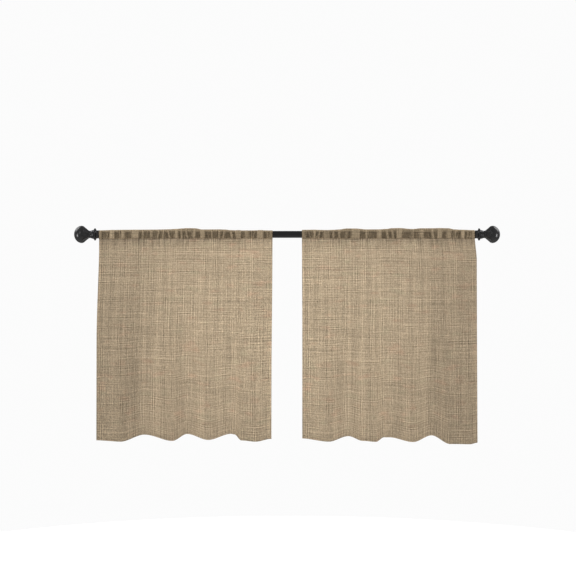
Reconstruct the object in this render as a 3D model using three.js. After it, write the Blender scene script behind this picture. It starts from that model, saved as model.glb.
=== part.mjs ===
// Pair of sheer cafe curtain panels gathered on one slim rod with turned ball finials.
// Millimetres, +Z up, front towards -Y, origin on the rod's axis at mid-length.
import * as THREE from "three";

// Rod and finials
const ROD_RADIUS = 10;
const ROD_WALL = 1;
const ROD_HALF_LENGTH = 554;
const ROD_SIDES = 32;
const FIT_GAP = 0.3;
const TIP_REACH = 614.6;
const BALL_RADIUS = 24.9;
const BALL_LENGTH = 22;
const NECK_RADIUS = 10.6;
const COLLAR_RADIUS = 17.5;
const SLEEVE_RADIUS = 11.6;
const SLEEVE_END = 72;
const SOCKET_END = 59;
const SOCKET_RADIUS = ROD_RADIUS + FIT_GAP;
const FINIAL_SIDES = 26;
const CURVE_STEPS = 3;

// A row for each stretch of the finial's outline after its ball: the radius and the place from the tip
// where it ends and, where it is curved, the radius and place that pull it
const FINIAL_OUTLINE = [
  { radius: 21.6, place: 29.8, pull: [BALL_RADIUS, 26.6] }, // shoulder of the ball
  { radius: 11.8, place: 41.6 }, // taper
  { radius: NECK_RADIUS, place: 45.2, pull: [NECK_RADIUS, 43] }, // neck
  { radius: NECK_RADIUS, place: 46.6 },
  { radius: 11.5, place: 50.2, pull: [NECK_RADIUS, 48.4] }, // bead
  { radius: 12.4, place: 54.2, pull: [12.8, 52.4] },
  { radius: COLLAR_RADIUS, place: 58.8, pull: [13, 57] }, // collar
  { radius: COLLAR_RADIUS, place: 61.8 },
  { radius: SLEEVE_RADIUS, place: 65.4, pull: [12.8, 63.2] }, // sleeve
  { radius: SLEEVE_RADIUS, place: SLEEVE_END },
  { radius: SOCKET_RADIUS, place: SLEEVE_END }, // socket
  { radius: SOCKET_RADIUS, place: SOCKET_END },
  { radius: 0, place: SOCKET_END },
];

// Cloth: its thickness, the width of the heading and the mean drop of the hem below the rod's axis
const CLOTH = 1.2;
const HEADING_WIDTH = 497;
const MEAN_DROP = 590;

// Rod pocket: level and setback of its seam, steps of the loop in degrees, how sharply the crest rises
// over the top, and the angles behind the top between which the gathers end
const SEAM_LEVEL = 13.5;
const SEAM_SETBACK = 1.5 * CLOTH;
const LOOP_STEP = 27.5;
const LOOP_STEPS = 9;
const CREST_POWER = 4;
const BACK_START = 150;
const BACK_SPAN = 60;

// Sheet under the rod: how far it stays forward of the axis, the levels over which that begins,
// and the length over which it comes to hang plumb
const TUCK = 3.4;
const TUCK_TOP = 3;
const TUCK_RISE = 7;
const HANG_LENGTH = 45;

// Gathers: flank of a ridge, levels by which ridges and leans have faded, and the narrowest column
const PLEAT_FLANK = 5;
const GATHER_FADE = 60;
const LEAN_FADE = 80;
const MIN_COLUMN = 3.6;

// Folds: how drop and depth grow towards the hem, millimetres forward for each millimetre of drop,
// and how far the mean of the hem stands forward
const DROP_POWER = 3;
const FOLD_POWER = 1.2;
const FOLD_DEPTH = 1.3;
const FOLD_FORWARD = 3;

// Levels of the sheet below the rod's axis, from the hem up to the rod
const LEVELS = [590, 548, 470, 360, 240, 125, 62, 34, 17.5, 10, 5.2];
const SEAM_ROW = 8;

// Loop angles from the front of the rod, over its top, to the underside at the back
const LOOP_ANGLES = Array.from({ length: LOOP_STEPS + 1 }, (_, step) => step * LOOP_STEP);

// A row for each gather: place along the heading, width and height of the ridge,
// lean of its top, and how far the heading stands above the rod there
const LEFT_GATHERS = [
  { at: 5, width: 12, height: 3, lean: 0, crest: 2.0 },
  { at: 38, width: 18, height: 6, lean: 0, crest: 2.9 },
  { at: 70, width: 15, height: 5, lean: 1, crest: 3.5 },
  { at: 105, width: 25, height: 6, lean: 1, crest: 3.7 },
  { at: 127, width: 9, height: 6, lean: 0, crest: 3.8 },
  { at: 151, width: 12, height: 5, lean: 0, crest: 4.0 },
  { at: 170, width: 8, height: 5, lean: 5, crest: 4.3 },
  { at: 185, width: 11, height: 4, lean: 2, crest: 4.6 },
  { at: 201, width: 8, height: 5, lean: -5, crest: 5.0 },
  { at: 223, width: 14, height: 6, lean: 0, crest: 6.2 },
  { at: 237, width: 10, height: 6, lean: -1, crest: 7.4 },
  { at: 252, width: 9, height: 5, lean: -4, crest: 8.3 },
  { at: 273, width: 12, height: 6, lean: 2, crest: 8.0 },
  { at: 297, width: 17, height: 6, lean: -2, crest: 4.4 },
  { at: 324, width: 8, height: 5, lean: 0, crest: 4.6 },
  { at: 345, width: 10, height: 6, lean: 0, crest: 4.7 },
  { at: 358, width: 10, height: 5, lean: 5, crest: 4.2 },
  { at: 380, width: 10, height: 6, lean: -4, crest: 2.4 },
  { at: 399, width: 19, height: 6, lean: 0, crest: 1.8 },
  { at: 423, width: 16, height: 4, lean: 0, crest: 1.6 },
  { at: 462, width: 22, height: 6, lean: 0, crest: 2.0 },
  { at: 492, width: 12, height: 3, lean: 0, crest: 1.6 },
];
const RIGHT_GATHERS = [
  { at: 5, width: 14, height: 3, lean: 0, crest: 3.4 },
  { at: 36, width: 10, height: 6, lean: 1, crest: 3.8 },
  { at: 49, width: 8, height: 5, lean: 3, crest: 3.2 },
  { at: 70, width: 22, height: 4, lean: 0, crest: 2.7 },
  { at: 90, width: 8, height: 6, lean: 0, crest: 3.4 },
  { at: 107, width: 9, height: 6, lean: 0, crest: 4.5 },
  { at: 128, width: 10, height: 5, lean: 3, crest: 7.4 },
  { at: 154, width: 28, height: 6, lean: 0, crest: 7.2 },
  { at: 186, width: 11, height: 6, lean: 0, crest: 4.7 },
  { at: 222, width: 17, height: 6, lean: 1, crest: 4.8 },
  { at: 245, width: 10, height: 6, lean: -4, crest: 6.0 },
  { at: 261, width: 10, height: 5, lean: -3, crest: 8.2 },
  { at: 279, width: 20, height: 6, lean: 2, crest: 8.6 },
  { at: 318, width: 10, height: 4, lean: 0, crest: 5.8 },
  { at: 343, width: 15, height: 6, lean: 0, crest: 7.9 },
  { at: 375, width: 11, height: 6, lean: -2, crest: 8.0 },
  { at: 395, width: 18, height: 6, lean: 2, crest: 8.5 },
  { at: 421, width: 18, height: 4, lean: 0, crest: 8.0 },
  { at: 440, width: 8, height: 5, lean: 0, crest: 4.6 },
  { at: 461, width: 14, height: 6, lean: 0, crest: 3.6 },
  { at: 491, width: 13, height: 3, lean: 0, crest: 2.6 },
];

// A row for each turn of the hem: place along the cloth and drop below the rod's axis;
// a low turn stands forward and a high turn lies back
const LEFT_HEM = [
  { at: 0, drop: 593.5 },
  { at: 69, drop: 597 },
  { at: 135, drop: 579 },
  { at: 216, drop: 595 },
  { at: 256, drop: 577.5 },
  { at: 318, drop: 592.5 },
  { at: 382, drop: 577 },
  { at: 391, drop: 578.5 },
  { at: 412, drop: 594 },
  { at: 452, drop: 597 },
  { at: 497, drop: 590 },
];
const RIGHT_HEM = [
  { at: 0, drop: 589 },
  { at: 75, drop: 597 },
  { at: 132, drop: 583 },
  { at: 172, drop: 595 },
  { at: 209, drop: 597.5 },
  { at: 233, drop: 586 },
  { at: 248, drop: 586 },
  { at: 315, drop: 598 },
  { at: 369, drop: 581 },
  { at: 419, drop: 603 },
  { at: 475, drop: 603.5 },
  { at: 497, drop: 599.5 },
];

// The two panels: heading edges, how far each edge moves out below and by which level
const PANELS = [
  { name: "panel_left", from: -542, to: -42, outFrom: -7.4, outTo: -3, reachFrom: 305, reachTo: 480,
    gathers: LEFT_GATHERS, hem: LEFT_HEM },
  { name: "panel_right", from: 43, to: 541, outFrom: 0.9, outTo: 6.6, reachFrom: 305, reachTo: 75,
    gathers: RIGHT_GATHERS, hem: RIGHT_HEM },
];

const FINISHES = {
  cloth: { name: "cloth", color: 0xaa9980, roughness: 0.9, metalness: 0, side: THREE.DoubleSide },
  black: { name: "black", color: 0x17171a, roughness: 0.45, metalness: 0 },
};

// Smooth step from 0 to 1, held at both ends
const ease = (value) => {
  const t = Math.min(Math.max(value, 0), 1);
  return t * t * (3 - 2 * t);
};

// Smooth value of one column of a table between its rows
function along(rows, column, at) {
  const next = rows.findIndex((row) => row.at >= at);
  if (next === 0) return rows[0][column];
  if (next < 0) return rows[rows.length - 1][column];
  const [low, high] = [rows[next - 1], rows[next]];
  return low[column] + (high[column] - low[column]) * ease((at - low.at) / (high.at - low.at));
}

// Height of the gathers above the rod at a place along the heading
function gatherHeight(rows, at) {
  let height = 0;
  for (const row of rows) {
    const flank = Math.min(row.width / 2, PLEAT_FLANK);
    const inside = row.width / 2 - Math.abs(at - row.at);
    height = Math.max(height, row.height * ease(inside / flank));
  }
  return height;
}

// Places of the columns: foot and top of each gather and turns of the hem
function columnsOf(spec) {
  const tops = [0, HEADING_WIDTH];
  const feet = [];
  for (const row of spec.gathers) {
    const flank = Math.min(row.width / 2, PLEAT_FLANK);
    const flat = row.width / 2 - flank;
    tops.push(...(flat > MIN_COLUMN / 2 ? [row.at - flat, row.at + flat] : [row.at]));
    feet.push(row.at - row.width / 2, row.at + row.width / 2);
  }
  feet.push(...spec.hem.map((row) => row.at));
  const kept = [];
  for (const place of [...tops, ...feet]) {
    const inside = place >= 0 && place <= HEADING_WIDTH;
    if (inside && kept.every((other) => Math.abs(other - place) >= MIN_COLUMN)) kept.push(place);
  }
  return kept.sort((a, b) => a - b);
}

// Place across the panel, with the edges moving out below and the gathers leaning
function across(spec, at, height) {
  const level = Math.max(-height, 0);
  const share = at / HEADING_WIDTH;
  const left = spec.from + spec.outFrom * ease(level / spec.reachFrom);
  const right = spec.to + spec.outTo * ease(level / spec.reachTo);
  const tilt = THREE.MathUtils.clamp(height / (2 * ROD_RADIUS), -0.5, 0.5) * (1 - ease(level / LEAN_FADE));
  return left + (right - left) * share + along(spec.gathers, "lean", at) * tilt;
}

// Radius of the cloth's middle on the rod, so that its flat facets clear the rod by the gap
const LOOP_RADIUS = (ROD_RADIUS + FIT_GAP) / Math.cos((LOOP_STEP / 360) * Math.PI) + CLOTH / 2;

// Middle of the cloth on the hanging sheet, at a level below the rod's axis:
// it follows the rod's front round to the seam and hangs plumb below the axis
function sheetPoint(spec, at, level) {
  const drop = along(spec.hem, "drop", at);
  const share = level / MEAN_DROP;
  const height = -level - (drop - MEAN_DROP) * share ** DROP_POWER;
  const gather = gatherHeight(spec.gathers, at) * (1 - ease(level / GATHER_FADE));
  const wrap = Math.sqrt(Math.max(LOOP_RADIUS ** 2 - level ** 2, 0));
  const plumb = TUCK * ease((level - TUCK_TOP) / TUCK_RISE) * (1 - ease((level - SEAM_LEVEL) / HANG_LENGTH));
  const hang = -Math.hypot(wrap, plumb);
  const fold = -(drop - MEAN_DROP + FOLD_FORWARD) * FOLD_DEPTH * share ** FOLD_POWER;
  return new THREE.Vector3(across(spec, at, height), hang - gather + fold, height);
}

// Middle of the cloth on the loop round the rod, at an angle from the front
function loopPoint(spec, at, degrees) {
  const angle = THREE.MathUtils.degToRad(degrees);
  const top = Math.max(Math.sin(angle), 0) ** CREST_POWER;
  const back = 1 - ease((degrees - BACK_START) / BACK_SPAN);
  const crest = Math.max(along(spec.gathers, "crest", at) - LOOP_RADIUS - CLOTH / 2 + ROD_RADIUS, 0);
  const gather = gatherHeight(spec.gathers, at) * (1 - top) * back;
  const radius = LOOP_RADIUS + gather + crest * top;
  const height = radius * Math.sin(angle);
  return new THREE.Vector3(across(spec, at, height), -radius * Math.cos(angle), height);
}

// Middle of the cloth where the turned-over heading is sewn to the sheet
function seamPoint(spec, at) {
  const point = sheetPoint(spec, at, SEAM_LEVEL);
  point.y += SEAM_SETBACK;
  return point;
}

// One panel as a closed solid: the sheet, its rod pocket and the sewn seam
function panelGeometry(spec) {
  const columns = columnsOf(spec);
  const middle = columns.map((at) => [
    ...LEVELS.map((level) => sheetPoint(spec, at, level)),
    ...LOOP_ANGLES.map((degrees) => loopPoint(spec, at, degrees)),
    seamPoint(spec, at),
  ]);
  const rows = middle[0].length;
  const last = columns.length - 1;
  const positions = [];
  const faces = [];
  for (const side of [0.5, -0.5]) {
    for (let c = 0; c <= last; c += 1) {
      for (let r = 0; r < rows; r += 1) {
        const run = middle[Math.min(c + 1, last)][r].clone().sub(middle[Math.max(c - 1, 0)][r]);
        const rise = middle[c][Math.min(r + 1, rows - 1)].clone().sub(middle[c][Math.max(r - 1, 0)]);
        const normal = run.cross(rise).normalize();
        const point = middle[c][r].clone().addScaledVector(normal, side * CLOTH);
        positions.push(point.x, point.y, point.z);
      }
    }
  }
  const outer = (c, r) => c * rows + r;
  const inner = (c, r) => (last + 1 + c) * rows + r;
  const quad = (a, b, c, d) => faces.push(a, b, c, a, c, d);
  const end = rows - 1;
  for (let c = 0; c < last; c += 1) {
    for (let r = 0; r < end; r += 1) {
      quad(outer(c, r), outer(c + 1, r), outer(c + 1, r + 1), outer(c, r + 1));
      if (r !== SEAM_ROW) quad(inner(c, r), inner(c, r + 1), inner(c + 1, r + 1), inner(c + 1, r));
    }
    quad(inner(c, 0), inner(c + 1, 0), outer(c + 1, 0), outer(c, 0));
    quad(inner(c, SEAM_ROW + 1), inner(c + 1, SEAM_ROW + 1), inner(c + 1, end), inner(c, end));
    quad(outer(c, end), outer(c + 1, end), inner(c + 1, SEAM_ROW), inner(c, SEAM_ROW));
  }
  for (let r = 0; r < end; r += 1) {
    quad(outer(0, r), outer(0, r + 1), inner(0, r + 1), inner(0, r));
    quad(inner(last, r), inner(last, r + 1), outer(last, r + 1), outer(last, r));
  }
  quad(inner(0, SEAM_ROW), inner(0, SEAM_ROW + 1), inner(0, end), outer(0, end));
  quad(outer(last, end), inner(last, end), inner(last, SEAM_ROW + 1), inner(last, SEAM_ROW));
  const geometry = new THREE.BufferGeometry();
  geometry.setAttribute("position", new THREE.Float32BufferAttribute(positions, 3));
  geometry.setIndex(faces);
  geometry.computeVertexNormals();
  return geometry;
}

// The finial's outline from its tip to the socket that takes the rod's end
function finialProfile() {
  const path = new THREE.Path();
  path.moveTo(0, 0);
  path.absellipse(0, BALL_LENGTH, BALL_RADIUS, BALL_LENGTH, -Math.PI / 2, 0, false);
  for (const { radius, place, pull } of FINIAL_OUTLINE) {
    if (pull) path.quadraticCurveTo(...pull, radius, place);
    else path.lineTo(radius, place);
  }
  return path.getPoints(CURVE_STEPS);
}

// A named mesh with a material of its own
function solid(name, geometry, finish) {
  const mesh = new THREE.Mesh(geometry, new THREE.MeshStandardMaterial(FINISHES[finish]));
  mesh.name = name;
  return mesh;
}

// The tube that carries both panels, its wall turned round the axis and laid along X
function rod() {
  const inside = ROD_RADIUS - ROD_WALL;
  const ring = [
    [inside, -ROD_HALF_LENGTH],
    [ROD_RADIUS, -ROD_HALF_LENGTH],
    [ROD_RADIUS, ROD_HALF_LENGTH],
    [inside, ROD_HALF_LENGTH],
    [inside, -ROD_HALF_LENGTH],
  ].map(([radius, place]) => new THREE.Vector2(radius, place));
  const geometry = new THREE.LatheGeometry(ring, ROD_SIDES);
  geometry.rotateZ(-Math.PI / 2);
  return solid("rod", geometry, "black");
}

// One finial with its socket towards the middle; side is -1 on the left and 1 on the right
function finial(name, side) {
  const geometry = new THREE.LatheGeometry(finialProfile(), FINIAL_SIDES);
  geometry.rotateZ((side * Math.PI) / 2);
  geometry.translate(side * TIP_REACH, 0, 0);
  return solid(name, geometry, "black");
}

const part = new THREE.Group();
part.name = "sheer_curtain";
part.add(rod());
part.add(finial("finial_left", -1));
part.add(finial("finial_right", 1));
for (const spec of PANELS) part.add(solid(spec.name, panelGeometry(spec), "cloth"));

export default part;
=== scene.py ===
"""Dresses a pair of sheer cafe curtain panels, gathered on a slim black rod with turned ball finials.

Every piece is a surface worked out with numpy in millimetres, in the same frame as the solids:
X along the rod, Z up, the front towards -Y and the origin on the rod's axis at mid-length.
"""

import logging
import math
from dataclasses import dataclass
from enum import Enum

import bpy
import numpy as np
from bpy.types import Material, NodeSocket, NodeTree, Object
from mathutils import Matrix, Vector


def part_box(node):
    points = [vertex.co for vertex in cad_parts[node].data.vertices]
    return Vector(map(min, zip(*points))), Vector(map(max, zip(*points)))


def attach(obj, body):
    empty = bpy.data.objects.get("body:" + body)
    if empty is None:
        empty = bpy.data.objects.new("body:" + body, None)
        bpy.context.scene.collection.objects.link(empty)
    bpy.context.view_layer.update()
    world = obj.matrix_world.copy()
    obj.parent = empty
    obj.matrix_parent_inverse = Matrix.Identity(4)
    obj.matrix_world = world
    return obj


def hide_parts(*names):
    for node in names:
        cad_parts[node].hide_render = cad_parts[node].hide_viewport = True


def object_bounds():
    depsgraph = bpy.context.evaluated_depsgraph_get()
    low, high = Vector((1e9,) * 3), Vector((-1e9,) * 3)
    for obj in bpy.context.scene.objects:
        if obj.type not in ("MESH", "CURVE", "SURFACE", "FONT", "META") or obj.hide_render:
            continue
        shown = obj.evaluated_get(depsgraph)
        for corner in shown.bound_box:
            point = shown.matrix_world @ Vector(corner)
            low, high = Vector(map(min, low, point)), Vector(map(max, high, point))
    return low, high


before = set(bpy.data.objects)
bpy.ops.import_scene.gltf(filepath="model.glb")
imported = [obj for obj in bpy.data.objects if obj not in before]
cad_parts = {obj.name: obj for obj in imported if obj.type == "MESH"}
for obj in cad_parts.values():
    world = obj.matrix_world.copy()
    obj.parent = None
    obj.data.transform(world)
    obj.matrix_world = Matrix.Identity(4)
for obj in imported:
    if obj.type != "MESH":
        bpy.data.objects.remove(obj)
CAD_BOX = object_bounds()

LOG = logging.getLogger("sheer_curtain")
Pair = tuple[float, float]
MM = 0.001
SEED = 11


class Side(Enum):
    """Which end of the rod a piece belongs to, with its sign along X."""

    LEFT = -1
    RIGHT = 1

    @property
    def word(self) -> str:
        """The side as it stands in the names of pieces and solids."""
        return self.name.lower()


class Edge(Enum):
    """The sewn lines of a panel."""

    POCKET = "pocket"
    SIDE = "side"
    HEM = "hem"


# Helpers for numbers, meshes and nodes


def solid_size(node: str) -> list[float]:
    """Width, depth and height of one of the frame's solids, to a hundredth of a millimetre."""
    low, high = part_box(node)
    return [round((end - start) / MM, 2) for start, end in zip(low, high)]


def ease(value: np.ndarray) -> np.ndarray:
    """Smooth step from 0 to 1: three t squared less two t cubed, held at both ends."""
    t = np.clip(value, 0.0, 1.0)
    return t * t * (3.0 - 2.0 * t)


def unit(vectors: np.ndarray) -> np.ndarray:
    """The vectors at a length of one."""
    return vectors / np.linalg.norm(vectors, axis=-1, keepdims=True)


def along(rows: np.ndarray, column: int, place: np.ndarray) -> np.ndarray:
    """Eased value of one column of a table between its rows.

    Args:
        rows: Table whose first column is the place along the cloth.
        column: The column that is read.
        place: Places along the cloth.

    Returns:
        The column's value at each place.
    """
    after = np.clip(np.searchsorted(rows[:, 0], place), 1, len(rows) - 1)
    low, high = rows[after - 1], rows[after]
    share = ease((place - low[..., 0]) / (high[..., 0] - low[..., 0]))
    return low[..., column] + (high[..., column] - low[..., column]) * share


def ripple(place: np.ndarray, level: np.ndarray, lengths: Pair, seed: int) -> np.ndarray:
    """Soft uneven swell: a sum of sine waves across the cloth, of nearby lengths and seeded phases,
    each of which sways down the cloth; about -1 to 1.

    Args:
        place: Places across the cloth.
        level: Places down the cloth.
        lengths: Typical wave lengths across and down.
        seed: Seed of the phases.

    Returns:
        The swell at each point.
    """
    waves, length_spread, sway, peak = 6, (0.7, 1.5), 1.3, 4.0
    draw = np.random.default_rng(seed)
    total = np.zeros(np.broadcast(place, level).shape)
    for _ in range(waves):
        across, down = draw.uniform(*length_spread, 2)
        phase, turn = draw.uniform(0.0, 2.0 * np.pi, 2)
        drift = sway * np.sin(2 * np.pi * level / (lengths[1] * down) + turn)
        total = total + np.sin(2 * np.pi * place / (lengths[0] * across) + phase + drift)
    return total / peak


def bezier(start: Pair, bend: Pair, end: Pair, steps: int) -> np.ndarray:
    """Points of a quadratic curve from start to end that a bend pulls, without the first point."""
    t = np.linspace(0.0, 1.0, steps + 1)[1:, None]
    return (1 - t) ** 2 * np.array(start) + 2 * t * (1 - t) * np.array(bend) + t ** 2 * np.array(end)


def linear(code: str) -> tuple[float, float, float, float]:
    """Linear colour of an sRGB hex code.

    Args:
        code: Six hex digits.

    Returns:
        Linear red, green, blue and an alpha of one.
    """
    parts = [int(code[i:i + 2], 16) / 255.0 for i in (0, 2, 4)]
    red, green, blue = (c / 12.92 if c <= 0.04045 else ((c + 0.055) / 1.055) ** 2.4 for c in parts)
    return red, green, blue, 1.0


def add(tree: NodeTree, kind: str, inputs: dict, out: int | str = 0, **settings: object) -> NodeSocket | None:
    """Adds a node, sets it up and links it.

    Args:
        tree: The node tree.
        kind: The node's type name.
        inputs: Input name or number to a value, or to a socket that is linked.
        out: Name or number of the output that is used.
        **settings: The node's own properties.

    Returns:
        That output, or None from a node without outputs.
    """
    made = tree.nodes.new(kind)
    for key, value in settings.items():
        setattr(made, key, value)
    for key, value in inputs.items():
        if isinstance(value, NodeSocket):
            tree.links.new(value, made.inputs[key])
        else:
            made.inputs[key].default_value = value
    return made.outputs[out] if made.outputs else None


def new_tree(name: str) -> tuple[Material, NodeTree]:
    """An empty node material and its tree.

    Args:
        name: The material's name.

    Returns:
        The material and its node tree.
    """
    material = bpy.data.materials.new(name)
    material.use_nodes = True
    material.node_tree.nodes.clear()
    return material, material.node_tree


def put_mesh(name: str, points: np.ndarray, quads: np.ndarray, corners: np.ndarray | None = None) -> Object:
    """Puts arrays into a smooth mesh object at the origin.

    Args:
        name: The object's name.
        points: Vertices in millimetres, one row each.
        quads: Vertex numbers of the four-sided faces.
        corners: Vertex numbers of the three-sided faces, if any.

    Returns:
        The linked object.
    """
    mesh = bpy.data.meshes.new(name)
    three = np.empty((0, 3), int) if corners is None else corners
    loops = np.concatenate([quads.ravel(), three.ravel()]).astype(np.int32)
    starts = np.concatenate([np.arange(len(quads)) * 4, len(quads) * 4 + np.arange(len(three)) * 3])
    mesh.vertices.add(len(points))
    mesh.vertices.foreach_set("co", (points * MM).astype(np.float32).ravel())
    mesh.loops.add(len(loops))
    mesh.loops.foreach_set("vertex_index", loops)
    mesh.polygons.add(len(starts))
    mesh.polygons.foreach_set("loop_start", starts.astype(np.int32))
    mesh.update(calc_edges=True)
    mesh.validate()
    mesh.polygons.foreach_set("use_smooth", np.ones(len(mesh.polygons), bool))
    made = bpy.data.objects.new(name, mesh)
    bpy.context.scene.collection.objects.link(made)
    return made


def face_outwards(piece: Object) -> None:
    """Turns a closed mesh's faces round if its volume, a sixth of the sum of the corner products
    of its triangles, is negative.

    Args:
        piece: The object with the mesh.
    """
    mesh = piece.data
    mesh.calc_loop_triangles()
    points = np.empty(len(mesh.vertices) * 3, np.float32)
    mesh.vertices.foreach_get("co", points)
    corners = np.empty(len(mesh.loop_triangles) * 3, np.int32)
    mesh.loop_triangles.foreach_get("vertices", corners)
    a, b, c = points.reshape(-1, 3).astype(float)[corners.reshape(-1, 3)].transpose(1, 0, 2)
    volume = np.einsum("ij,ij->i", a, np.cross(b, c)).sum() / 6.0
    if volume < 0:
        mesh.flip_normals()


def grid_quads(first: int, columns: int, rows: int, closed: bool = False) -> np.ndarray:
    """Faces of a grid whose points are numbered column by column.

    Args:
        first: Number of the grid's first point.
        columns: How many columns.
        rows: How many rows in a column.
        closed: True if the last column joins the first.

    Returns:
        Vertex numbers, four a face.
    """
    column = np.arange(columns if closed else columns - 1)[:, None]
    row = np.arange(rows - 1)[None, :]
    beside = (column + 1) % columns
    return first + np.stack([column * rows + row, beside * rows + row,
                             beside * rows + row + 1, column * rows + row + 1], -1).reshape(-1, 4)


def turned(name: str, outline: np.ndarray, sides: int, closed: bool) -> Object:
    """Turns an outline of (place along X, radius) once round the X axis.

    Args:
        name: The object's name.
        outline: Points of the outline.
        sides: Steps round the axis.
        closed: True for a ring outline; otherwise both ends lie on the axis.

    Returns:
        The object.
    """
    angle = np.arange(sides)[:, None] * (2.0 * np.pi / sides)
    ring = outline if closed else outline[1:-1]
    place, radius = ring.T
    points = np.stack([place + 0 * angle, radius * np.cos(angle), radius * np.sin(angle)], -1).reshape(-1, 3)
    count = len(ring)
    quads = grid_quads(0, sides, count, closed=True)
    corners = None
    here = np.arange(sides) * count
    beside = np.roll(here, -1)
    if closed:
        shut = np.stack([here + count - 1, beside + count - 1, beside, here], -1)
        quads = np.concatenate([quads, shut])
    else:
        tips = np.array([[outline[0, 0], 0, 0], [outline[-1, 0], 0, 0]])
        first = np.full(sides, len(points))
        corners = np.concatenate([np.stack([first, beside, here], -1),
                                  np.stack([first + 1, here + count - 1, beside + count - 1], -1)])
        points = np.concatenate([points, tips])
    made = put_mesh(name, points, quads, corners)
    face_outwards(made)
    return made


# Finishes


@dataclass(frozen=True)
class BlackEnamel:
    """Black baked enamel on steel: a matt black under a thin clear skin, which gives soft narrow gleams.

    It was sprayed, so the skin has a faint orange-peel with a fine grain, and the black is a little cloudy.
    """

    name: str = "black_baked_enamel"
    colour: str = "0e0e0f"
    worn: str = "19191a"
    roughness: Pair = (0.35, 0.47)
    skin: float = 0.085
    skin_ior: float = 2.2
    skin_roughness: float = 0.22
    cloud_mm: float = 30.0
    peel_mm: float = 2.4
    grain_mm: float = 0.7
    grain_share: float = 0.35
    relief: float = 0.12
    relief_mm: float = 0.15

    def material(self) -> Material:
        """The node material of the enamel.

        Returns:
            The material.
        """
        material, tree = new_tree(self.name)
        spot = add(tree, "ShaderNodeTexCoord", {}, "Object")
        peel, grain, cloud = (
            add(tree, "ShaderNodeTexNoise", {"Vector": spot, "Scale": 1 / (size * MM), "Detail": detail})
            for size, detail in ((self.peel_mm, 2.0), (self.grain_mm, 1.0), (self.cloud_mm, 3.0)))
        tone = add(tree, "ShaderNodeMix", {0: cloud, 6: linear(self.colour), 7: linear(self.worn)}, 2,
                   data_type="RGBA")
        rough = add(tree, "ShaderNodeMapRange", {
            "Value": cloud, "From Min": 0.3, "From Max": 0.7,
            "To Min": self.roughness[0], "To Max": self.roughness[1]})
        height = add(tree, "ShaderNodeMath", {0: grain, 1: self.grain_share, 2: peel},
                     operation="MULTIPLY_ADD")
        bump = add(tree, "ShaderNodeBump", {
            "Strength": self.relief, "Distance": self.relief_mm * MM, "Height": height})
        shader = add(tree, "ShaderNodeBsdfPrincipled", {
            "Base Color": tone, "Roughness": rough, "Normal": bump, "Specular IOR Level": 0.0,
            "Coat Weight": self.skin, "Coat IOR": self.skin_ior, "Coat Roughness": self.skin_roughness,
            "Coat Normal": bump})
        add(tree, "ShaderNodeOutputMaterial", {"Surface": shader})
        return material


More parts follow.
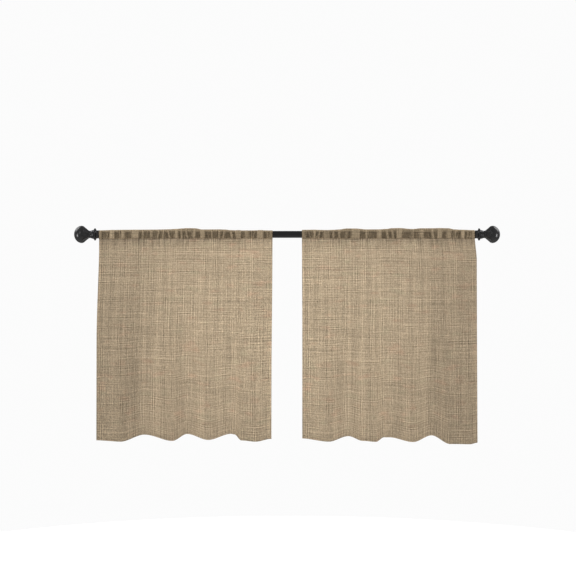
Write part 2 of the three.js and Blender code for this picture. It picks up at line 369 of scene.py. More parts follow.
@dataclass(frozen=True)
class FlaxVoile:
    """Semi-sheer flax-look voile: a plain weave of uneven yarns that glows with the light behind it.

    The real yarns lie less than a millimetre apart, too fine for the render, so the weave is drawn coarser:
    runs of thick and thin yarn are 2 to 3 mm wide, and its over and under are waves of 6 to 8 mm.
    """

    name: str = "flax_voile_plain_weave"
    face: str = "b7a58a"
    lit: str = "968d7c"
    rosy: str = "9a8978"
    olive: str = "948e7c"
    gaps: str = "d8d0c8"
    # Shares of the surface that is yarn and of its light from behind, and what a full gather adds to each.
    cover: float = 0.68
    glow: float = 0.7
    gather_cover: float = 0.2
    gather_glow: float = -0.33
    # Runs of thick and thin yarn: millimetres across, millimetres down, and strength.
    yarns: tuple[tuple[float, float, float], ...] = (
        (230.0, 2.4, 0.2), (140.0, 2.4, 0.2), (85.0, 2.4, 0.17), (2.8, 460.0, 0.21), (2.8, 260.0, 0.2),
        (2.8, 120.0, 0.16), (2.2, 2.0, 0.82), (14.0, 1200.0, 0.05))
    # The over and under, first across the cloth and then down it: millimetres a wave,
    # millimetres of its patches across and down, and strength.
    waves: tuple[tuple[float, float, float, float], ...] = ((7.4, 14.0, 60.0, 0.76), (6.4, 60.0, 12.0, 0.74))
    # Slubs of dyed fibre: millimetres across and down, and the noise at which they begin and are full.
    slub: Pair = (40.0, 14.0)
    slub_noise: Pair = (0.6, 0.8)
    # Each pattern reads the noise as many steps away as its number; yarns count from one.
    pattern_step: Pair = (7.3, 3.1)
    first_slub: int = 20
    first_wave: int = 30
    relief: float = 0.25
    relief_mm: float = 0.3
    matt: float = 0.6

    def runs(self, tree: NodeTree, flat: NodeSocket, size: Pair, number: int) -> NodeSocket:
        """Noise drawn out to runs of yarn.

        Args:
            tree: The cloth's node tree.
            flat: The cloth's flat coordinates.
            size: Millimetres across and down.
            number: The pattern's number.

        Returns:
            The noise, from 0 to 1.
        """
        spread = add(tree, "ShaderNodeMapping", {
            "Vector": flat, "Location": (self.pattern_step[0] * number, self.pattern_step[1] * number, 0.5),
            "Scale": (1 / (size[0] * MM), 1 / (size[1] * MM), 1.0)})
        return add(tree, "ShaderNodeTexNoise", {"Vector": spread, "Scale": 1.0, "Detail": 0.5})

    def tone(self, tree: NodeTree, flat: NodeSocket) -> NodeSocket:
        """Light and dark of the weave: one, plus each run of yarn less its mean, plus each wave in patches.

        Args:
            tree: The cloth's node tree.
            flat: The cloth's flat coordinates.

        Returns:
            The factor that the colours are multiplied by.
        """
        tone = 1.0 - 0.5 * sum(strength for _, _, strength in self.yarns)
        for number, (across, down, strength) in enumerate(self.yarns, start=1):
            run = self.runs(tree, flat, (across, down), number)
            tone = add(tree, "ShaderNodeMath", {0: run, 1: strength, 2: tone}, operation="MULTIPLY_ADD")
        for axis, (length, across, down, strength) in enumerate(self.waves):
            patch = self.runs(tree, flat, (across, down), self.first_wave + axis)
            swing = add(tree, "ShaderNodeMath", {0: patch, 1: strength, 2: -strength / 2},
                        operation="MULTIPLY_ADD")
            way = add(tree, "ShaderNodeSeparateXYZ", {0: flat}, axis)
            turn = add(tree, "ShaderNodeMath", {0: way, 1: 2 * math.pi / (length * MM)}, operation="MULTIPLY")
            wave = add(tree, "ShaderNodeMath", {0: turn}, operation="SINE")
            tone = add(tree, "ShaderNodeMath", {0: wave, 1: swing, 2: tone}, operation="MULTIPLY_ADD")
        return tone

    def fibre(self, tree: NodeTree, flat: NodeSocket) -> NodeSocket:
        """Colour of the light through the yarn, with rosy and olive slubs where their noise is high.

        Args:
            tree: The cloth's node tree.
            flat: The cloth's flat coordinates.

        Returns:
            The colour.
        """
        colour = linear(self.lit)
        start, full = self.slub_noise
        for index, code in enumerate((self.rosy, self.olive)):
            noise = self.runs(tree, flat, self.slub, self.first_slub + index)
            share = add(tree, "ShaderNodeMapRange", {"Value": noise, "From Min": start, "From Max": full})
            colour = add(tree, "ShaderNodeMix", {0: share, 6: colour, 7: linear(code)}, 2, data_type="RGBA")
        return colour

    def material(self) -> Material:
        """The node material of the cloth, on the cloth's own flat coordinates.

        Returns:
            The material.
        """
        material, tree = new_tree(self.name)
        flat = add(tree, "ShaderNodeUVMap", {}, "UV", uv_map="cloth")
        tone = self.tone(tree, flat)
        through, front, open_gaps = (
            add(tree, "ShaderNodeVectorMath", {0: colour, "Scale": tone}, operation="SCALE")
            for colour in (self.fibre(tree, flat), linear(self.face)[:3], linear(self.gaps)[:3]))
        gather = add(tree, "ShaderNodeAttribute", {}, "Fac", attribute_name="gather")
        cover, glow = (
            add(tree, "ShaderNodeMath", {0: gather, 1: change, 2: plain}, operation="MULTIPLY_ADD")
            for change, plain in ((self.gather_cover, self.cover), (self.gather_glow, self.glow)))
        bump = add(tree, "ShaderNodeBump", {
            "Strength": self.relief, "Distance": self.relief_mm * MM, "Height": tone})
        skin = add(tree, "ShaderNodeBsdfDiffuse", {"Color": front, "Roughness": self.matt, "Normal": bump})
        lit = add(tree, "ShaderNodeBsdfTranslucent", {"Color": through})
        yarn = add(tree, "ShaderNodeMixShader", {0: glow, 1: skin, 2: lit})
        clear = add(tree, "ShaderNodeBsdfTransparent", {"Color": open_gaps})
        sheer = add(tree, "ShaderNodeMixShader", {0: cover, 1: clear, 2: yarn})
        add(tree, "ShaderNodeOutputMaterial", {"Surface": sheer})
        return material


@dataclass(frozen=True)
class SewingThread:
    """Spun polyester sewing thread in the cloth's colour: matt, with painted shade between its plies, spread
    at random by a fine noise.
    """

    name: str = "spun_sewing_thread"
    colour: str = "a08c6e"
    ply_shade: float = 0.7
    twist_mm: float = 0.5
    roughness: float = 0.8

    def material(self) -> Material:
        """The node material of the thread.

        Returns:
            The material.
        """
        material, tree = new_tree(self.name)
        spot = add(tree, "ShaderNodeTexCoord", {}, "Object")
        twist = add(tree, "ShaderNodeTexNoise", {"Vector": spot, "Scale": 1 / (self.twist_mm * MM)})
        colour = linear(self.colour)
        # Painted shade between the plies: a darker copy of the thread's colour, mixed in at random by the
        # noise.
        painted_ply_shade = tuple(self.ply_shade * c for c in colour[:3]) + (1.0,)
        tone = add(tree, "ShaderNodeMix", {0: twist, 6: painted_ply_shade, 7: colour}, 2, data_type="RGBA")
        shader = add(tree, "ShaderNodeBsdfPrincipled", {"Base Color": tone, "Roughness": self.roughness})
        add(tree, "ShaderNodeOutputMaterial", {"Surface": shader})
        return material


# Sub-assemblies


@dataclass
class Rod:
    """The slim steel tube that carries both panels."""

    finish: Material
    radius: float
    half_length: float
    wall: float = 1.0
    lip: float = 0.3
    lip_steps: int = 3
    rings: int = 25
    sides: int = 72

    def outline(self) -> np.ndarray:
        """Ring outline of the tube's wall: a long rectangle with small round lips.

        Returns:
            Points of (place along X, radius).
        """
        inner, outer, end, lip = self.radius - self.wall, self.radius, self.half_length, self.lip
        places = np.linspace(-end + lip, end - lip, self.rings)
        outside = np.stack([places, np.full(self.rings, outer)], -1)
        inside = np.stack([places[::-1], np.full(self.rings, inner)], -1)
        right = bezier((end - lip, outer), (end, outer), (end, outer - lip), self.lip_steps)
        right_in = bezier((end, inner + lip), (end, inner), (end - lip, inner), self.lip_steps)[:-1]
        left, left_out = (curve[::-1] * (-1, 1) for curve in (right_in, right))
        return np.concatenate([outside, right, right_in, inside, left, left_out])

    def build(self) -> Object:
        """Makes and dresses the tube.

        Returns:
            The object.
        """
        tube = turned("curtain_rod", self.outline(), self.sides, closed=True)
        tube.data.materials.append(self.finish)
        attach(tube, "root")
        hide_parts("rod")
        return tube


@dataclass
class Finial:
    """A turned ball finial with neck, bead, collar and a sleeve over the rod's end."""

    side: Side
    finish: Material
    tip_reach: float
    ball: float
    sleeve_end: float
    ball_length: float = 22.0
    ball_steps: int = 40
    neck: float = 10.6
    collar: float = 17.5
    collar_edge: float = 0.5
    sleeve: float = 11.6
    sleeve_edge: float = 0.3
    socket: float = 10.3
    socket_end: float = 59.0
    sides: int = 96

    def outline(self) -> np.ndarray:
        """Outline from the tip to the socket's floor: an ellipse for the ball's end, then curves and lines.

        Returns:
            Points of (distance from the tip, radius).
        """
        turn = np.linspace(-np.pi / 2, 0.0, self.ball_steps)
        ball = np.stack([self.ball_length * (1 + np.sin(turn)), self.ball * np.cos(turn)], -1)
        ball[0, 1] = 0.0
        rim = self.collar - self.collar_edge
        # Start, bend and end of each curve, and its steps
        curves = (
            ((self.ball_length, self.ball), (26.6, self.ball), (29.8, 21.6), 10),  # shoulder of the ball
            ((29.8, 21.6), (35.7, 16.7), (41.6, 11.8), 8),  # taper
            ((41.6, 11.8), (43.0, self.neck), (45.2, self.neck), 8),  # neck
            ((46.6, self.neck), (48.4, self.neck), (50.2, 11.5), 8),  # bead
            ((50.2, 11.5), (52.4, 12.8), (54.2, 12.4), 8),
            ((54.2, 12.4), (57.0, 13.0), (58.4, rim), 8),  # collar
            ((58.4, rim), (58.6, self.collar), (59.1, self.collar), 3),
            ((61.6, self.collar), (62.1, self.collar), (62.3, rim), 3),
            ((62.3, rim), (63.2, 12.8), (65.4, self.sleeve), 8),  # foot of the sleeve
        )
        # Corners of the sleeve and its socket, with a point between on each long wall
        corners = np.array([
            (68.0, self.sleeve), (self.sleeve_end - self.sleeve_edge, self.sleeve),
            (self.sleeve_end, self.sleeve - self.sleeve_edge), (self.sleeve_end, self.socket),
            (65.5, self.socket), (self.socket_end, self.socket), (self.socket_end, 0.0)])
        return np.concatenate([ball, *(bezier(*curve) for curve in curves), corners])

    def build(self) -> Object:
        """Makes and dresses the finial.

        Returns:
            The object.
        """
        outline = self.outline()
        outline[:, 0] = self.side.value * (self.tip_reach - outline[:, 0])
        ball = turned(f"ball_finial_{self.side.word}", outline, self.sides, closed=False)
        ball.data.materials.append(self.finish)
        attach(ball, "root")
        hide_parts(f"finial_{self.side.word}")
        return ball


@dataclass
class Panel:
    """One panel: a hanging sheet whose top goes round the rod as a gathered pocket.

    The cloth is followed from the hem up the front, over the rod and down behind it to the pocket's seam.
    Gathers has a row of place, width, height, lean and crest; turns has a row of place and drop.
    Heading is the places of the two edges on the rod; flare is how far they move out below, by flare_levels.
    """

    side: Side
    cloth: Material
    thread: Material
    rod_radius: float
    heading: Pair
    flare: Pair
    flare_levels: Pair
    gathers: np.ndarray
    turns: np.ndarray
    # The sheet: its cut in metres, the width of the heading, the mean drop of the hem and the thickness.
    flat: Pair = (0.575, 0.672)
    width: float = 497.0
    mean_drop: float = 590.0
    thickness: float = 0.7
    # Hems: how much thicker they are, their widths, and the step where they end.
    hem_extra: float = 0.7
    side_hem: float = 12.0
    low_hem: float = 9.0
    hem_step: float = 0.8
    # Rod pocket: gap to the rod, degrees from the rod's front where the loop begins and ends, how sharply
    # its crest rises, and the degrees over which the gathers end at the back.
    rod_gap: float = 0.35
    loop_start: float = 3.0
    loop_end: float = 264.0
    crest_power: float = 4.0
    back_start: float = 150.0
    back_span: float = 60.0
    # Pocket's seam: its level, the level of the cloth's end under it, the gap between the layers,
    # and the room in which the back comes down to them.
    seam_level: float = 11.2
    tail_level: float = 12.4
    seam_gap: float = 0.25
    seam_room: float = 0.4
    # Sheet under the rod: how far it stays forward of the axis, from which level and over how much,
    # and the length in which it comes to hang plumb.
    tuck: float = 3.4
    tuck_top: float = 3.0
    tuck_rise: float = 7.0
    hang_length: float = 45.0
    # Gathers: flank of a ridge, and levels by which ridges and leans have faded.
    flank: float = 5.0
    gather_fade: float = 60.0
    lean_fade: float = 80.0
    # Puckers: how many, least and most half width, height and slant, how far up and down the slant goes on,
    # as a share of the rod's width, and the level by which they have faded.
    puckers: int = 44
    pucker_half: Pair = (1.8, 3.2)
    pucker_tall: Pair = (1.0, 4.4)
    pucker_slant: Pair = (-10.0, 10.0)
    pucker_reach: float = 0.6
    pucker_fade: float = 30.0
    # Folds: how drop and depth grow towards the hem, millimetres forward for each millimetre of drop,
    # and how far the mean of the hem stands forward.
    drop_power: float = 3.0
    fold_power: float = 1.2
    fold_depth: float = 1.3
    fold_forward: float = 3.0
    # Swell of the sheet: height, wave lengths across and down, the level where it begins and over how much.
    swell: float = 1.4
    swell_lengths: Pair = (70.0, 1200.0)
    swell_top: float = 30.0
    swell_rise: float = 160.0
    # Mark of the gathers: on the flat pocket, for each millimetre of ridge and on the crown; the level where
    # it begins to fall and over how much; and the sine where the crown begins and over how much.
    mark_flat: float = 0.1
    mark_ridge: float = 0.15
    mark_crown: float = 0.85
    mark_level: float = 9.0
    mark_fall: float = 4.0
    crown_sine: float = 0.5
    crown_rise: float = 0.25
    # Mesh: columns, levels where the spacing of the rows changes with how many rows lead up to each,
    # and rows of the loop and of the back.
    columns: int = 330
    level_stops: tuple[float, ...] = (130.0, 40.0, 12.5, 1.0)
    level_rows: tuple[int, ...] = (52, 15, 9, 15)
    loop_rows: int = 36
    tail_rows: int = 10

    @property
    def loop_radius(self) -> float:
        """Radius of the cloth's middle where it lies on the rod."""
        return self.rod_radius + self.rod_gap + self.thickness / 2

    @property
    def pucker_seed(self) -> int:
        """Seed of the puckers, another one on each side."""
        return SEED + 5 * self.side.value

    def gather_height(self, place: np.ndarray) -> np.ndarray:
        """How far the gathers stand off the rod: the highest of the eased ridges at each place.

        Args:
            place: Places along the heading.

        Returns:
            Heights in millimetres.
        """
        at, width, height = self.gathers.T[:3]
        flank = np.minimum(width / 2, self.flank)
        inside = width / 2 - np.abs(place[..., None] - at)
        return (height * ease(inside / flank)).max(-1)

    def pucker_height(self, place: np.ndarray, height: np.ndarray) -> np.ndarray:
        """Small slanting creases between the gathers: the highest of seeded narrow ridges,
        each moving sideways by its slant over the rod's height.

        Args:
            place: Places along the heading.
            height: Heights above the rod's axis.

        Returns:
            Heights in millimetres.
        """
        draw = np.random.default_rng(self.pucker_seed)
        ranges = np.array([(0.0, self.width), self.pucker_half, self.pucker_tall, self.pucker_slant])
        at, half, tall, slant = draw.uniform(ranges[:, :1], ranges[:, 1:], (len(ranges), self.puckers))
        lift = np.clip(height / (2 * self.rod_radius), -self.pucker_reach, self.pucker_reach)
        aside = np.abs(place[..., None] - at - slant * lift[..., None])
        return (tall * ease(1 - aside / half)).max(-1)

    def across(self, place: np.ndarray, height: np.ndarray) -> np.ndarray:
        """Place along X: the share across between edges that move out below, with leaning gathers.

        Args:
            place: Places along the heading.
            height: Heights above the rod's axis.

        Returns:
            X in millimetres.
        """
        level = np.maximum(-height, 0.0)
        left, right = (edge + out * ease(level / reach)
                       for edge, out, reach in zip(self.heading, self.flare, self.flare_levels))
        tilt = np.clip(height / (2 * self.rod_radius), -0.5, 0.5) * (1 - ease(level / self.lean_fade))
        return left + (right - left) * place / self.width + along(self.gathers, 3, place) * tilt

    def sheet(self, place: np.ndarray, level: np.ndarray) -> np.ndarray:
        """Middle of the hanging sheet: it follows the rod's front round to the seam, hangs plumb
        below the axis, the gathers fade out and the folds of the hem grow with the level.

        Args:
            place: Places along the heading.
            level: Levels below the rod's axis.

        Returns:
            Points in millimetres.
        """
        place, level = np.broadcast_arrays(place, level)
        drop = along(self.turns, 1, place)
        share = np.maximum(level, 0.0) / self.mean_drop
        height = -level - (drop - self.mean_drop) * share ** self.drop_power
        gather = self.gather_height(place) * (1 - ease(level / self.gather_fade))
        pucker = self.pucker_height(place, -level) * (1 - ease(level / self.pucker_fade))
        wrap = np.sqrt(np.maximum(self.loop_radius ** 2 - level ** 2, 0.0))
        plumb = (self.tuck * ease((level - self.tuck_top) / self.tuck_rise)
                 * (1 - ease((level - self.seam_level) / self.hang_length)))
        fold = -(drop - self.mean_drop + self.fold_forward) * self.fold_depth * share ** self.fold_power
        swell = (ripple(place, level, self.swell_lengths, SEED + self.side.value) * self.swell
                 * ease((level - self.swell_top) / self.swell_rise))
        depth = -np.hypot(wrap, plumb) - np.maximum(gather, pucker) + fold + swell
        return np.stack([self.across(place, height), depth, height], -1)

    def sheet_normal(self, place: np.ndarray, level: np.ndarray, step: float) -> np.ndarray:
        """Unit normals of the hanging sheet, to the front.

        Args:
            place: Places along the heading.
            level: Levels below the rod's axis.
            step: How far to each side the sheet's slope is measured.

        Returns:
            The normals.
        """
        run = self.sheet(place + step, level) - self.sheet(place - step, level)
        rise = self.sheet(place, level - step) - self.sheet(place, level + step)
        return unit(np.cross(run, rise))

    def loop(self, place: np.ndarray, degrees: np.ndarray) -> np.ndarray:
        """Middle of the pocket's loop: a circle on the rod, pushed out by the gathers at front and back
        and by the crest over the top.

        Args:
            place: Places along the heading.
            degrees: Angles from the rod's front, over its top.

        Returns:
            Points in millimetres.
        """
        place, degrees = np.broadcast_arrays(place, degrees)
        angle = np.radians(degrees)
        top = np.maximum(np.sin(angle), 0.0) ** self.crest_power
        back = 1 - ease((degrees - self.back_start) / self.back_span)
        rise = along(self.gathers, 4, place) - self.loop_radius - self.thickness / 2 + self.rod_radius
        pucker = self.pucker_height(place, self.loop_radius * np.sin(angle))
        gather = np.maximum(self.gather_height(place), pucker)
        radius = self.loop_radius + gather * (1 - top) * back + np.maximum(rise, 0.0) * top
        height = radius * np.sin(angle)
        return np.stack([self.across(place, height), -radius * np.cos(angle), height], -1)

    def tail(self, place: np.ndarray, share: np.ndarray) -> np.ndarray:
        """Middle of the pocket's back from the loop to the seam: a quadratic curve that ends flat behind
        the sheet.

        Args:
            place: Places along the heading.
            share: Shares of the way down, from 0 to 1.

        Returns:
            Points in millimetres.
        """
        room = self.seam_room
        start = self.loop(place, self.loop_end)
        bend, end = (
            self.sheet(place, level) - self.sheet_normal(place, level, room) * (self.thickness + gap)
            for level, gap in ((self.seam_level - room, room), (self.tail_level, self.seam_gap)))
        t = share[..., None]
        return (1 - t) ** 2 * start + 2 * t * (1 - t) * bend + t ** 2 * end

    def rows(self) -> tuple[np.ndarray, np.ndarray, np.ndarray]:
        """Where the rows of the mesh lie.

        Returns:
            Levels up the sheet, angles round the loop and shares of the tail.
        """
        starts = (self.mean_drop, *self.level_stops[:-1])
        last = len(starts) - 1
        levels = np.concatenate([
            np.linspace(start, stop, count, endpoint=index == last)
            for index, (start, stop, count) in enumerate(zip(starts, self.level_stops, self.level_rows))])
        degrees = np.linspace(self.loop_start, self.loop_end, self.loop_rows)
        return levels, degrees, np.linspace(1 / self.tail_rows, 1.0, self.tail_rows)

    def gather_mark(self, place: np.ndarray) -> np.ndarray:
        """How closely the cloth is gathered, from 0 to about 1: on the pocket it grows with the ridges,
        it ends at the seam, and the crown over the rod is close all along.

        Args:
            place: Places along the heading, as a column.

        Returns:
            The mark on the mesh's grid.
        """
        levels, degrees, shares = self.rows()
        sine, none = np.sin(np.radians(degrees)), np.zeros(len(shares))
        front = 1 - ease((levels - self.mark_level) / self.mark_fall)
        top = self.mark_crown * ease((sine - self.crown_sine) / self.crown_rise)
        pocket = np.concatenate([front, np.ones(len(degrees)), none])
        crown = np.concatenate([np.zeros(len(levels)), top, none])
        height = np.concatenate([-levels, self.loop_radius * sine, none])[None, :]
        ridge = np.maximum(self.gather_height(place), self.pucker_height(place, height))
        return np.maximum((self.mark_flat + self.mark_ridge * ridge) * pocket, crown)

    def middle(self) -> tuple[np.ndarray, np.ndarray, np.ndarray]:
        """The whole middle surface on its grid, with the flat coordinates and the marks on it.

        Returns:
            Points, flat coordinates in metres, and marks of gather and hem, column by column.
        """
        levels, degrees, shares = (row[None, :] for row in self.rows())
        place = np.linspace(0.0, self.width, self.columns)[:, None]
        points = np.concatenate([self.sheet(place, levels), self.loop(place, degrees),
                                 self.tail(place, shares)], axis=1)
        step = np.linalg.norm(np.diff(points[self.columns // 2], axis=0), axis=-1)
        run = np.concatenate([[0.0], np.cumsum(step)])[None, :]
        flat = np.stack(np.broadcast_arrays(place * (self.flat[0] / self.width), run * MM), -1)
        from_side = np.minimum(place, self.width - place)
        side, low = (1 - ease((way - hem) / self.hem_step)
                     for way, hem in ((from_side, self.side_hem), (run, self.low_hem)))
        return points, flat, np.stack([self.gather_mark(place), np.maximum(side, low)], -1)

    def weave(self) -> Object:
        """Makes the cloth: both faces of the thin sheet, thicker at its hems, and the narrow edges round it.

        Returns:
            The object.
        """
        points, flat, marks = self.middle()
        normal = unit(np.cross(np.gradient(points, axis=0), np.gradient(points, axis=1)))
        columns, rows = points.shape[:2]
        count = columns * rows
        front = points + normal * (self.thickness / 2)
        back = points - normal * (self.thickness / 2 + self.hem_extra * marks[..., 1:2])
        number = np.arange(count).reshape(columns, rows)
        rim = np.concatenate([number[:-1, 0], number[-1, :-1], number[1:, -1][::-1], number[0, 1:][::-1]])
        after = np.roll(rim, -1)
        edge = np.stack([rim, rim + count, after + count, after], -1)
        back_quads = grid_quads(count, columns, rows)[:, ::-1]
        quads = np.concatenate([grid_quads(0, columns, rows), back_quads, edge])
        piece = put_mesh(f"voile_panel_{self.side.word}", np.concatenate([front, back]).reshape(-1, 3), quads)
        mesh = piece.data
        loops = np.empty(len(mesh.loops), np.int32)
        mesh.loops.foreach_get("vertex_index", loops)
        layer = mesh.uv_layers.new(name="cloth")
        layer.data.foreach_set("uv", np.tile(flat.reshape(-1, 2), (2, 1))[loops].astype(np.float32).ravel())
        mark = mesh.attributes.new("gather", "FLOAT", "POINT")
        mark.data.foreach_set("value", np.tile(marks[..., 0].ravel(), 2).astype(np.float32))
        mesh.materials.append(self.cloth)
        return piece

    def build(self) -> list[Object]:
        """Returns:
            The cloth and its stitching.
        """
        cloth, sewing = self.weave(), Sewing(self).build()
        for piece in (cloth, sewing):
            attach(piece, "root")
        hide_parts(f"panel_{self.side.word}")
        return [cloth, sewing]


@dataclass
class Sewing:
    """The stitching of one panel, on both faces: each stitch is a small lozenge of thread."""

    panel: Panel
    # A stitch: spacing, half its length as a share of that, radius, and where its rings stand in each half.
    pitch: float = 3.0
    half_share: float = 0.36
    radius: float = 0.24
    shoulder: float = 0.55
    # A seam: distance from its ends and inside the hem's edge, and the step in which its slope is measured.
    end_margin: float = 4.0
    edge_margin: float = 1.5
    slope_step: float = 0.5

    def seams(self, edge: Edge) -> list[tuple[np.ndarray, np.ndarray]]:
        """Places and levels of the stitches of one kind of seam.

        Args:
            edge: The kind of seam.

        Returns:
            Places along the heading and levels below the axis, a pair of arrays for each line.
        """
        panel = self.panel
        if edge is Edge.SIDE:
            top, low = panel.tail_level + self.end_margin, panel.mean_drop - self.end_margin
            level = np.arange(top, low, self.pitch)
            inset = panel.side_hem - self.edge_margin
            return [(np.full_like(level, place), level) for place in (inset, panel.width - inset)]
        place = np.arange(self.end_margin, panel.width - self.end_margin, self.pitch)
        hem_level = panel.mean_drop - panel.low_hem + self.edge_margin
        return [(place, np.full_like(place, panel.seam_level if edge is Edge.POCKET else hem_level))]

    def stitches(self, edge: Edge) -> list[np.ndarray]:
        """Middles, half lengths and normals of the stitches of one kind of seam.

        Args:
            edge: The kind of seam.

        Returns:
            Arrays of three vectors a stitch, one array for each face of each line.
        """
        panel, half = self.panel, self.pitch * self.half_share
        run, fall = (0.0, half) if edge is Edge.SIDE else (half, 0.0)
        top = panel.thickness / 2
        under = 3 * top + panel.seam_gap if edge is Edge.POCKET else top + panel.hem_extra
        made = []
        for place, level in self.seams(edge):
            start, end = panel.sheet(place - run, level - fall), panel.sheet(place + run, level + fall)
            normal = panel.sheet_normal(place, level, self.slope_step)
            made += [np.stack([(start + end) / 2 + normal * lift, (end - start) / 2, normal], 1)
                     for lift in (top, -under)]
        return made

    def build(self) -> Object:
        """Makes the stitches: two rings of four points between two tips each, all in one mesh.

        Returns:
            The object with every stitch of the panel.
        """
        stitches = np.concatenate([line for edge in Edge for line in self.stitches(edge)])
        middle, run, normal = stitches.transpose(1, 0, 2)
        aside = unit(np.cross(run, normal))
        corners = 4
        turn = np.arange(corners) * (2 * np.pi / corners)
        ring = np.cos(turn)[None, :, None] * aside[:, None] + np.sin(turn)[None, :, None] * normal[:, None]
        rings = [middle[:, None] + run[:, None] * at + ring * self.radius
                 for at in (-self.shoulder, self.shoulder)]
        tips = [(middle - run)[:, None], (middle + run)[:, None]]
        points = np.concatenate([tips[0], *rings, tips[1]], axis=1)
        # In each stitch the first tip is point 0, then come both rings, and the last tip
        first, second, last = 1, 1 + corners, 1 + 2 * corners
        base = np.arange(len(points))[:, None, None] * (last + 1)
        a = np.arange(corners)
        b = np.roll(a, -1)
        sides = base + np.stack([first + a, first + b, second + b, second + a], -1)[None]
        ends = base + np.concatenate([np.stack([0 * a, first + b, first + a], -1),
                                      np.stack([0 * a + last, second + a, second + b], -1)])[None]
        piece = put_mesh(f"stitching_{self.panel.side.word}", points.reshape(-1, 3),
                         sides.reshape(-1, 4), ends.reshape(-1, 3))
        face_outwards(piece)
        piece.data.materials.append(self.panel.thread)
        return piece


LEFT_GATHERS = np.array([
    # place, width, height, lean, crest
    (5, 12, 3, 0, 2.0), (38, 18, 6, 0, 2.9), (70, 15, 5, 1, 3.5), (105, 25, 6, 1, 3.7),
    (127, 9, 6, 0, 3.8), (151, 12, 5, 0, 4.0), (170, 8, 5, 5, 4.3), (185, 11, 4, 2, 4.6),
    (201, 8, 5, -5, 5.0), (223, 14, 6, 0, 6.2), (237, 10, 6, -1, 7.4), (252, 9, 5, -4, 8.3),
    (273, 12, 6, 2, 8.0), (297, 17, 6, -2, 4.4), (324, 8, 5, 0, 4.6), (345, 10, 6, 0, 4.7),
    (358, 10, 5, 5, 4.2), (380, 10, 6, -4, 2.4), (399, 19, 6, 0, 1.8), (423, 16, 4, 0, 1.6),
    (462, 22, 6, 0, 2.0), (492, 12, 3, 0, 1.6)], float)
RIGHT_GATHERS = np.array([
    # place, width, height, lean, crest
    (5, 14, 3, 0, 3.4), (36, 10, 6, 1, 3.8), (49, 8, 5, 3, 3.2), (70, 22, 4, 0, 2.7),
    (90, 8, 6, 0, 3.4), (107, 9, 6, 0, 4.5), (128, 10, 5, 3, 7.4), (154, 28, 6, 0, 7.2),
    (186, 11, 6, 0, 4.7), (222, 17, 6, 1, 4.8), (245, 10, 6, -4, 6.0), (261, 10, 5, -3, 8.2),
    (279, 20, 6, 2, 8.6), (318, 10, 4, 0, 5.8), (343, 15, 6, 0, 7.9), (375, 11, 6, -2, 8.0),
    (395, 18, 6, 2, 8.5), (421, 18, 4, 0, 8.0), (440, 8, 5, 0, 4.6), (461, 14, 6, 0, 3.6),
    (491, 13, 3, 0, 2.6)], float)
LEFT_TURNS = np.array([
    # place, drop
    (0, 593.5), (69, 597), (135, 579), (216, 595), (256, 577.5), (318, 592.5), (382, 577), (391, 578.5),
    (412, 594), (452, 597), (497, 590)], float)
RIGHT_TURNS = np.array([
    # place, drop
    (0, 589), (75, 597), (132, 583), (172, 595), (209, 597.5), (233, 586), (248, 586), (315, 598),
    (369, 581), (419, 603), (475, 603.5), (497, 599.5)], float)


# Studio


@dataclass(frozen=True)
class Softbox:
    """A soft rectangular lamp aimed at a point, with its places and size in metres."""

    name: str
    place: tuple[float, float, float]
    target: tuple[float, float, float]
    size: Pair
    watts: float

    def build(self) -> Object:
        """Makes the lamp, turned so that it faces its target.

        Returns:
            The lamp.
        """
        data = bpy.data.lights.new(self.name, "AREA")
        data.shape = "RECTANGLE"
        data.size, data.size_y = self.size
        data.energy = self.watts
        lamp = bpy.data.objects.new(self.name, data)
        lamp.location = self.place
        ray = np.array(self.target) - np.array(self.place)
        tilt, turn = math.atan2(math.hypot(ray[0], ray[1]), -ray[2]), math.atan2(ray[1], ray[0])
        lamp.rotation_euler = (tilt, 0.0, turn - math.pi / 2)
        lamp.visible_camera = False
        bpy.context.scene.collection.objects.link(lamp)
        return lamp


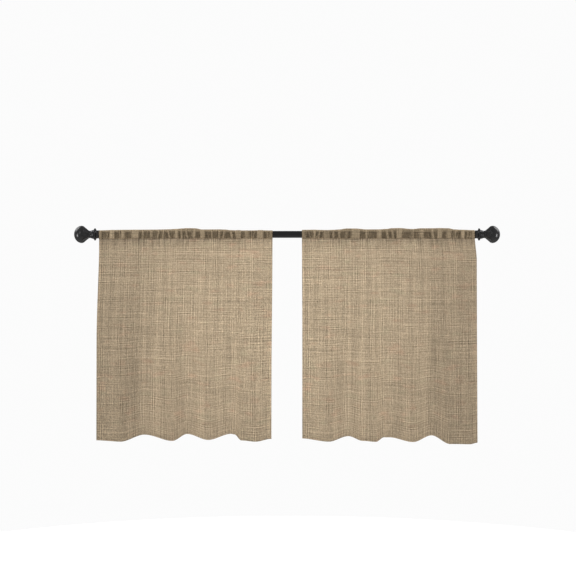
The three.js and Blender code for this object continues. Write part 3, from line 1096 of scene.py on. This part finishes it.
@dataclass
class Studio:
    """Camera, floor and soft light round the curtain."""

    # Camera: millimetres a pixel at the cloth's plane, pixels across, distance, and its X and Z.
    mm_a_pixel: float = 2.88
    pixels: int = 576
    distance: float = 4200.0
    aim: Pair = (2.7, -154.7)
    cloth_plane: float = -10.0
    sensor: float = 36.0
    far_clip: float = 100.0
    # Floor: level, radius, share of it in the middle, points round it and rings; and the light all round.
    floor_height: float = -1080.0
    floor_radius: float = 1700.0
    floor_hub: float = 0.02
    floor_sides: int = 96
    floor_rings: int = 6
    floor_colour: str = "f4f3f1"
    surround: float = 0.97

    def camera(self) -> Object:
        """A level long-lens camera square to the curtain.

        Returns:
            The camera.
        """
        data = bpy.data.cameras.new("studio_camera")
        span = self.mm_a_pixel * self.pixels
        data.sensor_width = self.sensor
        data.lens = self.sensor * (self.distance + self.cloth_plane) / span
        data.clip_end = self.far_clip
        eye = bpy.data.objects.new("studio_camera", data)
        eye.location = (self.aim[0] * MM, -self.distance * MM, self.aim[1] * MM)
        eye.rotation_euler = (math.radians(90.0), 0.0, 0.0)
        bpy.context.scene.collection.objects.link(eye)
        bpy.context.scene.camera = eye
        return eye

    def floor(self) -> Object:
        """A plain pale round floor: rings of points about the Z axis.

        Returns:
            The floor.
        """
        sides, rings = self.floor_sides, self.floor_rings
        angle = np.arange(sides)[:, None] * (2 * np.pi / sides)
        radius = np.linspace(self.floor_hub, 1.0, rings)[None, :] * self.floor_radius
        points = np.stack([radius * np.cos(angle), radius * np.sin(angle),
                           np.full((sides, rings), self.floor_height)], -1).reshape(-1, 3)
        quads = grid_quads(0, sides, rings, closed=True)[:, ::-1]
        middle = np.array([[0.0, 0.0, self.floor_height]])
        here = np.arange(sides) * rings
        corners = np.stack([here, np.roll(here, -1), np.full(sides, len(points))], -1)
        disc = put_mesh("studio_floor", np.concatenate([points, middle]), quads, corners)
        material, tree = new_tree("pale_matt_floor")
        shader = add(tree, "ShaderNodeBsdfPrincipled", {
            "Base Color": linear(self.floor_colour), "Roughness": 0.9, "Specular IOR Level": 0.1})
        add(tree, "ShaderNodeOutputMaterial", {"Surface": shader})
        disc.data.materials.append(material)
        return disc

    def softboxes(self) -> list[Softbox]:
        """The lamps: a key from the front left, a faint one close behind the cloth,
        and a rim light and a small spark for each finial.

        Returns:
            The lamps in order.
        """
        lamps = [Softbox("key_softbox", (-1.5, -2.3, 0.9), (0.0, 0.0, -0.3), (1.4, 1.4), 14.0),
                 Softbox("back_softbox", (0.0, 0.14, -0.24), (0.0, 0.0, -0.24), (0.8, 0.72), 3.5)]
        for side in Side:
            x, word = side.value, side.word
            ball = (x * 0.59, 0.0, 0.0)
            lamps.append(Softbox(f"rim_softbox_{word}", (x * 1.35, 0.53, 0.76), ball, (0.9, 0.9), 27.0))
            lamps.append(Softbox(f"spark_softbox_{word}", (x * 0.99, -0.19, -0.09), ball, (0.1, 0.2), 1.9))
        return lamps

    def build(self) -> None:
        """Sets the camera, the floor, the pale surroundings and the lamps."""
        self.camera()
        self.floor()
        scene = bpy.context.scene
        scene.view_settings.view_transform = "Standard"
        scene.world = bpy.data.worlds.new("pale_surround")
        scene.world.use_nodes = True
        tree = scene.world.node_tree
        tree.nodes.clear()
        sky = add(tree, "ShaderNodeBackground", {"Color": linear("ffffff"), "Strength": self.surround})
        add(tree, "ShaderNodeOutputWorld", {"Surface": sky})
        for lamp in self.softboxes():
            lamp.build()


def main() -> None:
    """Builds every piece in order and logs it."""
    logging.basicConfig(level=logging.INFO, format="%(message)s")
    Studio().build()
    enamel = BlackEnamel().material()
    lacquer = BlackEnamel(name="black_lacquer", skin=0.125).material()
    cloth = FlaxVoile().material()
    thread = SewingThread().material()
    rod_length, _, rod_width = solid_size("rod")
    finial_length, _, ball_width = solid_size("finial_left")
    half_span = round(CAD_BOX[1][0] / MM, 2)
    rod = Rod(enamel, radius=rod_width / 2, half_length=rod_length / 2)
    made = [rod.build()]
    made += [Finial(side, lacquer, half_span, ball_width / 2, finial_length).build() for side in Side]
    made += Panel(Side.LEFT, cloth, thread, rod.radius, heading=(-542.0, -42.0), flare=(-7.4, -3.0),
                  flare_levels=(305.0, 480.0), gathers=LEFT_GATHERS, turns=LEFT_TURNS).build()
    made += Panel(Side.RIGHT, cloth, thread, rod.radius, heading=(43.0, 541.0), flare=(0.9, 6.6),
                  flare_levels=(305.0, 75.0), gathers=RIGHT_GATHERS, turns=RIGHT_TURNS).build()
    for piece in made:
        LOG.info("%s: %d faces", piece.name, len(piece.data.polygons))


if __name__ == "__main__":
    main()
